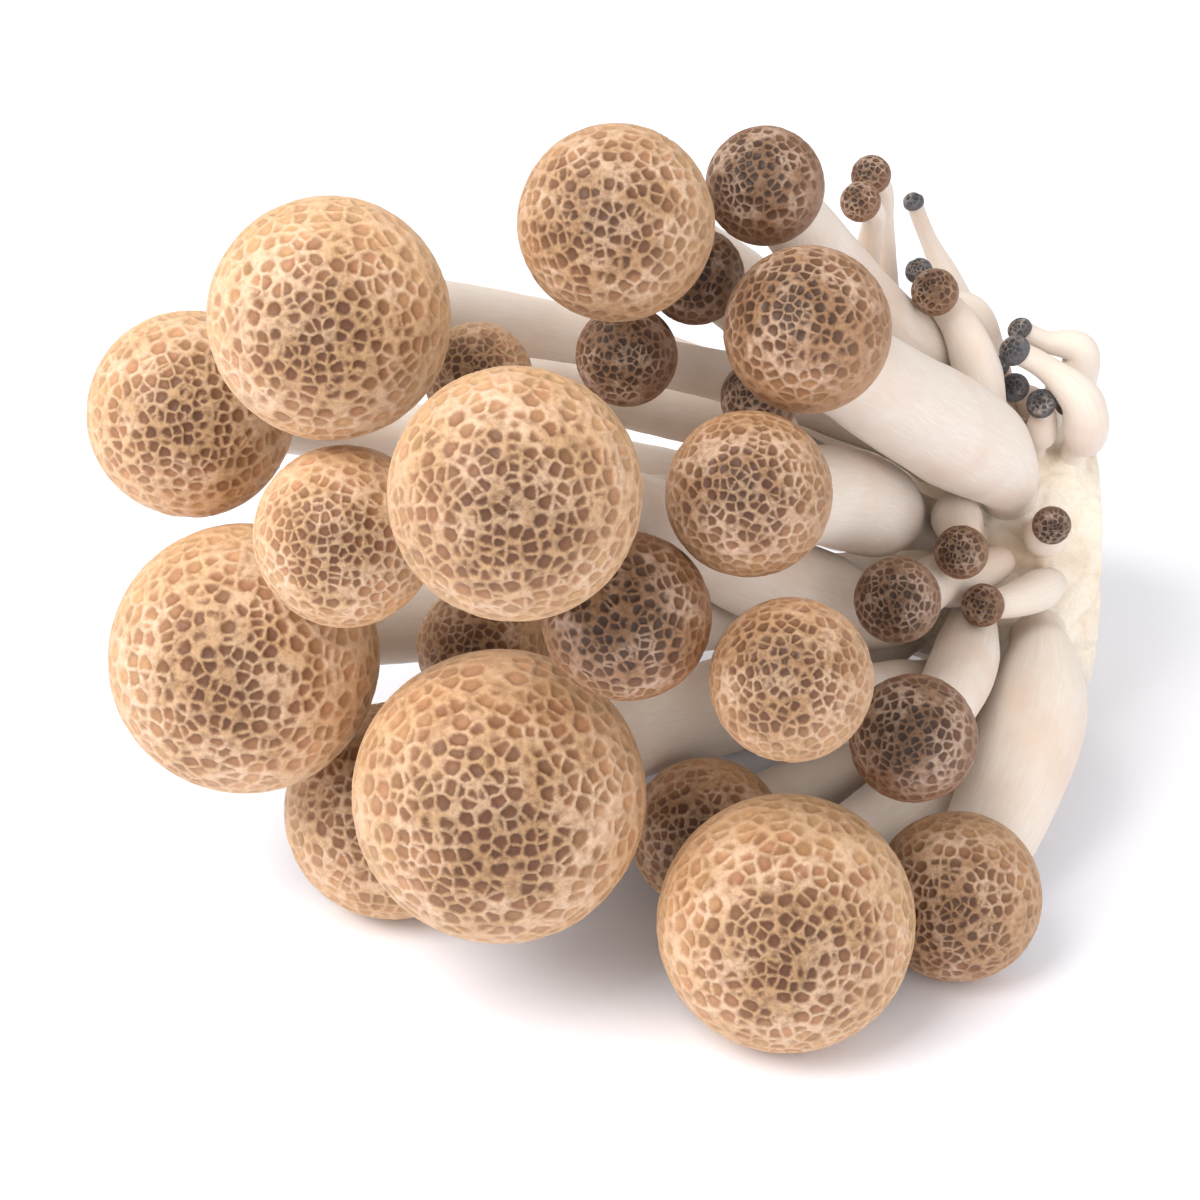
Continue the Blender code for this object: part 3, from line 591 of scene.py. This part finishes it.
def build_cap_tree():
    """Turns a cap's section round its axis, then sinks the net's cells into the skin."""
    inputs = (
        ("Section", "NodeSocketObject", None), ("Sides", "NodeSocketInt", 64),
        ("Rings", "NodeSocketInt", 32), ("Skin Share", "NodeSocketFloat", 0.7),
        ("Radius", "NodeSocketFloat", 0.01), ("Cell", "NodeSocketFloat", 0.001),
        ("Darkness", "NodeSocketFloat", 0.0), ("Seed", "NodeSocketFloat", 0.0),
        ("Skin", "NodeSocketMaterial", None),
    )
    build = new_tree("netted cap", "GeometryNodeTree", inputs, (("Cap", "NodeSocketGeometry"),))
    given = build.inputs
    sheet = build.add("GeometryNodeMeshGrid", {
        "Size X": 1.0, "Size Y": 1.0,
        "Vertices X": build.math("ADD", given["Sides"], 1), "Vertices Y": given["Rings"],
    })
    flat = build.split(build.add("GeometryNodeInputPosition").outputs[0])
    turn = build.math("MULTIPLY", build.math("ADD", flat[0], 0.5), 2 * math.pi)
    along = build.math("ADD", flat[1], 0.5)
    section = build.add("GeometryNodeObjectInfo", {"Object": given["Section"]}).outputs["Geometry"]
    sample = build.add("GeometryNodeSampleCurve", {"Curves": section, "Factor": along}, mode="FACTOR")
    out = build.split(sample.outputs["Position"])
    place = build.join(
        build.math("MULTIPLY", out[0], build.math("COSINE", turn)),
        build.math("MULTIPLY", out[0], build.math("SINE", turn)),
        out[2],
    )
    fade_start = build.math("MULTIPLY", given["Skin Share"], NET_FADE)
    on_skin = build.ramp(along, fade_start, given["Skin Share"], 1.0, 0.0)
    marked = build.add("GeometryNodeStoreNamedAttribute", {
        "Geometry": sheet.outputs["Mesh"], "Name": "on_skin", "Value": on_skin,
    }, data_type="FLOAT", domain="POINT").outputs[0]
    turned = build.add("GeometryNodeSetPosition", {"Geometry": marked, "Position": place}).outputs[0]
    closed = build.add("GeometryNodeMergeByDistance", {"Geometry": turned, "Distance": MERGE}).outputs[0]
    position = build.add("GeometryNodeInputPosition").outputs[0]
    way = build.vector("NORMALIZE", position)
    polar = build.math("ARCCOSINE", build.split(way)[2])
    away = build.math("POWER", build.math("DIVIDE", polar, CROWD_ANGLE), 2.0)
    closeness = build.math("EXPONENT", build.math("MULTIPLY", away, -1.0))
    crowd = build.math("MULTIPLY_ADD", closeness, CROWDING, 1.0)
    cells = build.math("MULTIPLY", crowd, build.math("DIVIDE", given["Radius"], given["Cell"]))
    net_place = build.vector("SCALE", way, scale=cells)
    net_place = build.vector("ADD", net_place, build.alike(given["Seed"]))
    shift = build.noise(net_place, WAVER_SCALE, 4.0, 0.7, "Color")
    waver = build.vector("SUBTRACT", shift, (0.5, 0.5, 0.5))
    net_place = build.vector("ADD", net_place, build.vector("SCALE", waver, scale=2 * NET_WAVER))
    stored = store(build, closed, "net_place", net_place, "FLOAT_VECTOR")
    stored = store(build, stored, "from_crown", polar)
    stored = store(build, stored, "darkness", given["Darkness"])
    skin = named(build, "on_skin")
    pit, from_middle, _ = net_cells(build, named(build, "net_place", "FLOAT_VECTOR"))
    pit = build.math("MULTIPLY", pit, build.ramp(from_middle, 0.0, 0.5, 1.0, PIT_SIDE))
    deepest = build.math("MULTIPLY", given["Cell"], NET_DEPTH)
    depth = build.math("MULTIPLY", build.math("MULTIPLY", pit, skin), deepest)
    swell = build.noise(build.vector("ADD", way, build.join(given["Seed"])), SWELL_SCALE, 1.0)
    dip = build.math("MULTIPLY", build.math("SUBTRACT", SWELL_LEVEL, swell), 2 * SWELL)
    dip = build.math("MULTIPLY", dip, given["Radius"])
    inward = build.math("MULTIPLY", build.math("ADD", depth, build.math("MULTIPLY", dip, skin)), -1.0)
    shaped = build.add("GeometryNodeSetPosition", {
        "Geometry": stored, "Offset": build.vector("SCALE", way, scale=inward),
    }).outputs[0]
    end_tree(build, shaped, given["Skin"], "Cap")
    return build.tree


def store(build, geometry, name, value, kind="FLOAT"):
    values = {"Geometry": geometry, "Name": name, "Value": value}
    return build.add("GeometryNodeStoreNamedAttribute", values, data_type=kind, domain="POINT").outputs[0]


def named(build, name, kind="FLOAT"):
    return build.add("GeometryNodeInputNamedAttribute", {"Name": name}, data_type=kind).outputs[0]


def end_tree(build, geometry, material, output):
    """Every geometry tree ends this way: realised, shaded smooth and with its material."""
    whole = build.add("GeometryNodeRealizeInstances", {0: geometry}).outputs[0]
    smooth = build.add("GeometryNodeSetShadeSmooth", {"Geometry": whole}).outputs[0]
    dressed = build.add("GeometryNodeSetMaterial", {"Geometry": smooth, "Material": material}).outputs[0]
    build.feed(build.end[output], dressed)


def cap_section(cap, height=DOME_HEIGHT, rim=RIM_ANGLE, roll=RIM_ROLL):
    """A cap's section from its crown, over the rolled rim, to its middle below, then the share of
    it that is skin, and its length."""
    dome = []
    for i in range(DOME_POINTS + 1):
        polar = rim * i / DOME_POINTS
        stretch = height if polar < math.pi / 2 else 1.0
        dome.append((math.sin(polar), math.cos(polar) * stretch))
    joint = cap.get("joint", 0) / cap["radius"]
    under = list(roll) + [(joint, -JOINT_DEPTH), (0.0, -JOINT_DEPTH)]
    points = [Vector((x, 0, z)) * cap["radius"] for x, z in dome + under]
    lengths = [(after - before).length for before, after in zip(points, points[1:])]
    return points, sum(lengths[:DOME_POINTS]) / sum(lengths), sum(lengths)


def line_object(name, points, radii=None):
    """A line through the points, with a radius at each."""
    curve = bpy.data.curves.new(name, "CURVE")
    curve.dimensions = "3D"
    spline = curve.splines.new("POLY")
    spline.points.add(len(points) - 1)
    for i, point in enumerate(points):
        spline.points[i].co = (*point, 1.0)
        spline.points[i].radius = radii[i] if radii else 1.0
    line = bpy.data.objects.new(name, curve)
    bpy.context.collection.objects.link(line)
    return line


def place_mesh(mesh, cap):
    """Turns a mesh made round the origin the way its cap faces, on the surface at the lowest."""
    turn = cap["axis"].to_track_quat("Z", "Y").to_matrix().to_4x4()
    turn.translation = cap["centre"]
    mesh.transform(turn)
    count = len(mesh.vertices)
    places = np.empty(count * 3, np.float32)
    mesh.vertices.foreach_get("co", places)
    places = places.reshape(-1, 3)
    places[:, 2] = np.maximum(places[:, 2], 0.0)
    mesh.vertices.foreach_set("co", places.ravel())
    mesh.update()


def outward(mesh):
    """Turns the faces of a closed mesh to point outwards."""
    bm = bmesh.new()
    bm.from_mesh(mesh)
    bmesh.ops.recalc_face_normals(bm, faces=bm.faces[:])
    bm.to_mesh(mesh)
    bm.free()


def skin_mesh(name, tree, cap, section, darkness, seed, material):
    points, skin_share, length = section
    step = min(SKIN_STEP * MM, max(FINEST_STEP * MM, STEP_SHARE * cap["radius"]))
    line = line_object(name + "_section", points)
    mesh = run_tree(name, tree, {
        "Section": line, "Sides": round(2 * math.pi * cap["radius"] / step),
        "Rings": round(length / step), "Skin Share": skin_share, "Radius": cap["radius"],
        "Cell": CELL_BASE * MM + CELL_GROWTH * cap["radius"],
        "Darkness": darkness, "Seed": seed, "Skin": material,
    })
    drop(line)
    outward(mesh)
    place_mesh(mesh, cap)
    return mesh


def make_caps(caps, tree, materials):
    for number, cap in caps.items():
        skin = materials["tan" if number in TAN_SKINS else "brown"]
        name = f"skin_{number:02d}"
        darkness = DARKNESS[number - 1]
        mesh = skin_mesh(name, tree, cap, cap_section(cap), darkness, number * SKIN_SEED, skin)
        finish_piece(name, mesh, [f"cap_{number:02d}"])


# Gills

def build_gill_tree():
    """Stands blades round a cap's axis: long ones, and a shorter one between each two."""
    inputs = (
        ("Blade", "NodeSocketObject", None), ("Short Blade", "NodeSocketObject", None),
        ("Count", "NodeSocketInt", 40), ("Seed", "NodeSocketInt", 1),
        ("Flesh", "NodeSocketMaterial", None),
    )
    build = new_tree("gills", "GeometryNodeTree", inputs, (("Gills", "NodeSocketGeometry"),))
    given = build.inputs
    step = build.math("DIVIDE", 2 * math.pi, given["Count"])
    index = build.add("GeometryNodeInputIndex").outputs[0]
    join = build.add("GeometryNodeJoinGeometry")
    for label, shift in (("Blade", 0.0), ("Short Blade", 0.5)):
        points = build.add("GeometryNodePoints", {"Count": given["Count"]}).outputs[0]
        shake = build.random(-GILL_SHAKE, GILL_SHAKE, index, given["Seed"])
        turn = build.math("MULTIPLY", build.math("ADD", build.math("ADD", index, shake), shift), step)
        rotation = build.add("FunctionNodeEulerToRotation", {0: build.join(0.0, 0.0, turn)}).outputs[0]
        blade = build.add("GeometryNodeObjectInfo", {"Object": given[label]}).outputs["Geometry"]
        tall = build.random(SHORTEST_GILL, 1.0, index, given["Seed"])
        stood = build.add("GeometryNodeInstanceOnPoints", {
            "Points": points, "Instance": blade, "Rotation": rotation, "Scale": build.join(1.0, 1.0, tall),
        }).outputs[0]
        build.tree.links.new(stood, join.inputs[0])
    whole = build.add("GeometryNodeRealizeInstances", {0: join.outputs[0]}).outputs[0]
    position = build.add("GeometryNodeInputPosition").outputs[0]
    grain = build.vector("SCALE", position, scale=1 / (GILL_GRAIN * MM))
    end_tree(build, store(build, whole, "grain", grain, "FLOAT_VECTOR"), given["Flesh"], "Gills")
    return build.tree


def blade_object(name, cap, start):
    """One gill, a thin plate on the +X side of the axis, from start, a share of the radius, to the rim."""
    length = GILL_OUT - start
    outline = [Vector((start + length * along, 0, up)) * cap["radius"] for along, up in GILL_OUTLINE]
    bm = bmesh.new()
    sides = []
    for side in (-0.5, 0.5):
        thick = Vector((0, side * GILL_THICK * MM, 0))
        sides.append([bm.verts.new(point + thick) for point in outline])
    bm.faces.new(sides[0])
    bm.faces.new(sides[1][::-1])
    for i in range(len(outline)):
        j = (i + 1) % len(outline)
        bm.faces.new((sides[0][i], sides[1][i], sides[1][j], sides[0][j]))
    bmesh.ops.recalc_face_normals(bm, faces=bm.faces[:])
    mesh = bpy.data.meshes.new(name)
    bm.to_mesh(mesh)
    bm.free()
    blade = bpy.data.objects.new(name, mesh)
    bpy.context.collection.objects.link(blade)
    return blade


def make_gills(caps, tree, materials):
    for number, cap in caps.items():
        count = next(count for least, count in GILLS if cap["radius"] >= least * MM)
        inner = cap["joint"] / cap["radius"] - GILL_SUNK
        long = blade_object("long_blade", cap, inner)
        short = blade_object("short_blade", cap, inner + (GILL_OUT - inner) * SHORT_START)
        name = f"gills_{number:02d}"
        mesh = run_tree(name, tree, {
            "Blade": long, "Short Blade": short, "Count": count, "Seed": number,
            "Flesh": materials["gill"],
        })
        drop(long, short)
        place_mesh(mesh, cap)
        finish_piece(name, mesh)


# Stems

def build_stem_tree():
    """A round stem along its course, a little uneven, with fibres that run its length."""
    inputs = (
        ("Course", "NodeSocketGeometry", None), ("Sides", "NodeSocketInt", 32),
        ("Step", "NodeSocketFloat", 0.001), ("Seed", "NodeSocketFloat", 0.0),
        ("Unevenness", "NodeSocketFloat", 1.0), ("Flesh", "NodeSocketMaterial", None),
    )
    build = new_tree("stem", "GeometryNodeTree", inputs, (("Stem", "NodeSocketGeometry"),))
    given = build.inputs
    smooth = build.add("GeometryNodeCurveSplineType", {0: given["Course"]}, spline_type="CATMULL_ROM")
    course = build.add("GeometryNodeResampleCurve", {
        "Curve": smooth.outputs[0], "Length": given["Step"],
    }, mode="LENGTH").outputs[0]
    length = build.add("GeometryNodeSplineParameter").outputs["Length"]
    course = store(build, course, "along", length)
    circle = build.add("GeometryNodeCurvePrimitiveCircle", {"Resolution": given["Sides"], "Radius": 1.0})
    on_circle = build.add("GeometryNodeInputPosition").outputs[0]
    ring = store(build, circle.outputs[0], "around", on_circle, "FLOAT_VECTOR")
    radius = build.add("GeometryNodeInputRadius").outputs[0]
    tube = build.add("GeometryNodeCurveToMesh", {
        "Curve": course, "Profile Curve": ring, "Scale": radius, "Fill Caps": True,
    }).outputs[0]
    around = build.split(named(build, "around", "FLOAT_VECTOR"))
    run = build.math("DIVIDE", named(build, "along"), FIBRE_LENGTH * MM)
    fibres = FIBRE_ROUND / FIBRE_WIDTH
    across = build.math("MULTIPLY_ADD", around[0], fibres, given["Seed"])
    grain = build.join(across, build.math("MULTIPLY", around[1], fibres), run)
    tube = store(build, tube, "grain", grain, "FLOAT_VECTOR")
    strand = build.noise(named(build, "grain", "FLOAT_VECTOR"), 1.0, 2.0)
    position = build.add("GeometryNodeInputPosition").outputs[0]
    lump = build.noise(position, 1 / (LUMP_WIDTH * MM), 2.0)
    rise = build.math("ADD",
        build.math("MULTIPLY", build.math("SUBTRACT", strand, STEM_LEVEL), 2 * FIBRE_DEPTH * MM),
        build.math("MULTIPLY", build.math("SUBTRACT", lump, STEM_LEVEL), 2 * LUMP_DEPTH * MM),
    )
    rise = build.math("MULTIPLY", rise, given["Unevenness"])
    normal = build.add("GeometryNodeInputNormal").outputs[0]
    shaped = build.add("GeometryNodeSetPosition", {
        "Geometry": tube, "Offset": build.vector("SCALE", normal, scale=rise),
    }).outputs[0]
    end_tree(build, shaped, given["Flesh"], "Stem")
    return build.tree


def stem_mesh(name, tree, course, fineness, seed, unevenness, material):
    sides, step = fineness
    points, radii = zip(*course)
    line = line_object(name + "_course", points, radii)
    mesh = run_tree(name, tree, {
        "Sides": sides, "Step": step * MM, "Seed": seed, "Unevenness": unevenness, "Flesh": material,
    }, source=line)
    outward(mesh)
    return mesh


def make_stems(caps, courses, heart, tree, materials):
    for number, cap in caps.items():
        course = courses[number]
        sunk = min(SUNK_IN_CAP * MM, SUNK_AT_MOST * cap["radius"])
        into_cap = (cap["disc"] + cap["axis"] * sunk, course[0][1] * SPREAD_IN_CAP)
        course = [into_cap, *course, sunk_root(course[-1], heart)]
        name = f"flesh_{number:02d}"
        fineness = (STEM_SIDES, STEM_STEP)
        mesh = stem_mesh(name, tree, course, fineness, number * STEM_SEED, STEM_UNEVEN, materials["stem"])
        finish_piece(name, mesh, [f"stem_{number:02d}"])


def make_pins(heart, stem_tree, cap_tree, materials):
    for number, (head, course) in enumerate(read_pins(heart), 1):
        neck = (head["centre"], head["radius"] * PIN_NECK)
        course = [neck, *course, sunk_root(course[-1], heart)]
        name = f"pin_{number:02d}"
        fineness = (PIN_SIDES, PIN_STEP)
        mesh = stem_mesh(name, stem_tree, course, fineness, number * PIN_SEED, PIN_UNEVEN, materials["stem"])
        finish_piece(name, mesh)
        name = f"pin_head_{number:02d}"
        darkness = INKY if head["radius"] < YOUNGEST * MM else BROWN
        head["radius"] *= PIN_HEAD
        section = cap_section(head, PIN_HEIGHT, PIN_RIM, PIN_ROLL)
        mesh = skin_mesh(name, cap_tree, head, section, darkness, number * HEAD_SEED, materials["inky"])
        finish_piece(name, mesh)


# Butt

def crease(place):
    """How deep the skin of the butt lies at a place: seams between the feet, and a fine grain."""
    distances = noise.voronoi(place / (CREASE_WIDTH * MM))[0]
    seam = max(0.0, 1 - (distances[1] - distances[0]) / SEAM_WIDTH) ** 2
    grain = noise.fractal(place / (GRAIN_WIDTH * MM), 0.8, 2.0, 4)
    return (seam * CREASE_DEPTH + (0.5 - 0.5 * grain) * GRAIN_DEPTH) * MM


def make_butt(heart, materials):
    """The butt, fine and eased, as far out in every direction as its solid without the pins."""
    solid = merged_copy("butt")
    tree = BVHTree.FromBMesh(solid)
    bm = bmesh.new()
    bmesh.ops.create_icosphere(bm, subdivisions=BUTT_FINENESS, radius=1.0)
    for vert in bm.verts:
        way = vert.co.normalized()
        hit = tree.ray_cast(heart, way)
        reach = min(hit[3], FEET_REACH * MM) if hit[0] else FEET_REACH * MM
        vert.co = heart + way * reach
    for _ in range(BUTT_EASING):
        bmesh.ops.smooth_vert(
            bm, verts=bm.verts[:], factor=EASING_SHARE, use_axis_x=True, use_axis_y=True, use_axis_z=True,
        )
    solid.free()
    for vert in bm.verts:
        vert.co += (heart - vert.co).normalized() * crease(vert.co)
        vert.co.z = max(vert.co.z, 0)
    bmesh.ops.recalc_face_normals(bm, faces=bm.faces[:])
    mesh = bpy.data.meshes.new("butt_flesh")
    bm.to_mesh(mesh)
    bm.free()
    mesh.shade_smooth()
    rows = np.empty(len(mesh.vertices) * 3, np.float32)
    mesh.vertices.foreach_get("co", rows)
    mesh.attributes.new("grain", "FLOAT_VECTOR", "POINT").data.foreach_set("vector", rows * (1 / MM))
    mesh.materials.append(materials["butt"])
    finish_piece("butt_flesh", mesh, ["butt"])


# Stage

def make_camera(middle):
    back = facing(*VIEW_WAY)
    lens = bpy.data.cameras.new("camera")
    lens.lens, lens.sensor_width = LENS, SENSOR
    lens.clip_start, lens.clip_end = NEAREST_SEEN, FARTHEST_SEEN
    camera = bpy.data.objects.new("camera", lens)
    camera.location = middle + back * DISTANCE * MM
    camera.rotation_mode = "QUATERNION"
    camera.rotation_quaternion = (-back).to_track_quat("-Z", "Y")
    bpy.context.collection.objects.link(camera)
    bpy.context.scene.camera = camera


def make_light(name, middle, way, distance, size, watts, colour):
    """A soft square light that shines on the middle from its way."""
    lamp = bpy.data.lights.new(name, "AREA")
    lamp.size, lamp.energy, lamp.color = size, watts, colour
    light = bpy.data.objects.new(name, lamp)
    light.location = middle + facing(*way) * distance
    light.rotation_mode = "QUATERNION"
    light.rotation_quaternion = facing(*way).to_track_quat("Z", "Y")
    bpy.context.collection.objects.link(light)


def make_floor():
    corners = [(x * FLOOR_HALF, y * FLOOR_HALF, 0) for x, y in ((-1, -1), (1, -1), (1, 1), (-1, 1))]
    mesh = bpy.data.meshes.new("floor")
    mesh.from_pydata(corners, [], [(0, 1, 2, 3)])
    paper = bpy.data.materials.new("paper")
    paper.use_nodes = True
    shader = paper.node_tree.nodes["Principled BSDF"]
    shader.inputs["Base Color"].default_value = FLOOR_COLOUR
    shader.inputs["Roughness"].default_value = FLOOR_ROUGHNESS
    shader.inputs["Specular IOR Level"].default_value = FLOOR_SHINE
    mesh.materials.append(paper)
    floor = bpy.data.objects.new("floor", mesh)
    bpy.context.collection.objects.link(floor)


def make_stage(middle):
    """The floor, the sky's even light, the lamps, and plain colours in the picture."""
    make_floor()
    world = bpy.data.worlds.new("studio")
    world.use_nodes = True
    sky = world.node_tree.nodes["Background"]
    sky.inputs["Color"].default_value = SKY_COLOUR
    sky.inputs["Strength"].default_value = SKY_STRENGTH
    bpy.context.scene.world = world
    for name, values in LIGHTS.items():
        make_light(name, middle, *values)
    settings = bpy.context.scene.view_settings
    settings.view_transform = "Standard"
    settings.look = "None"


def main():
    materials = make_materials()
    caps = {number: read_cap(number) for number in CAPS}
    courses = {number: read_stem(number, caps[number]) for number in CAPS}
    heart = read_heart(courses.values())
    middle = heart + Vector(LOOK_FROM_HEART) * MM
    cap_tree, stem_tree = build_cap_tree(), build_stem_tree()
    make_camera(middle)
    make_stage(middle)
    make_caps(caps, cap_tree, materials)
    make_gills(caps, build_gill_tree(), materials)
    make_stems(caps, courses, heart, stem_tree, materials)
    make_pins(heart, stem_tree, cap_tree, materials)
    make_butt(heart, materials)


main()
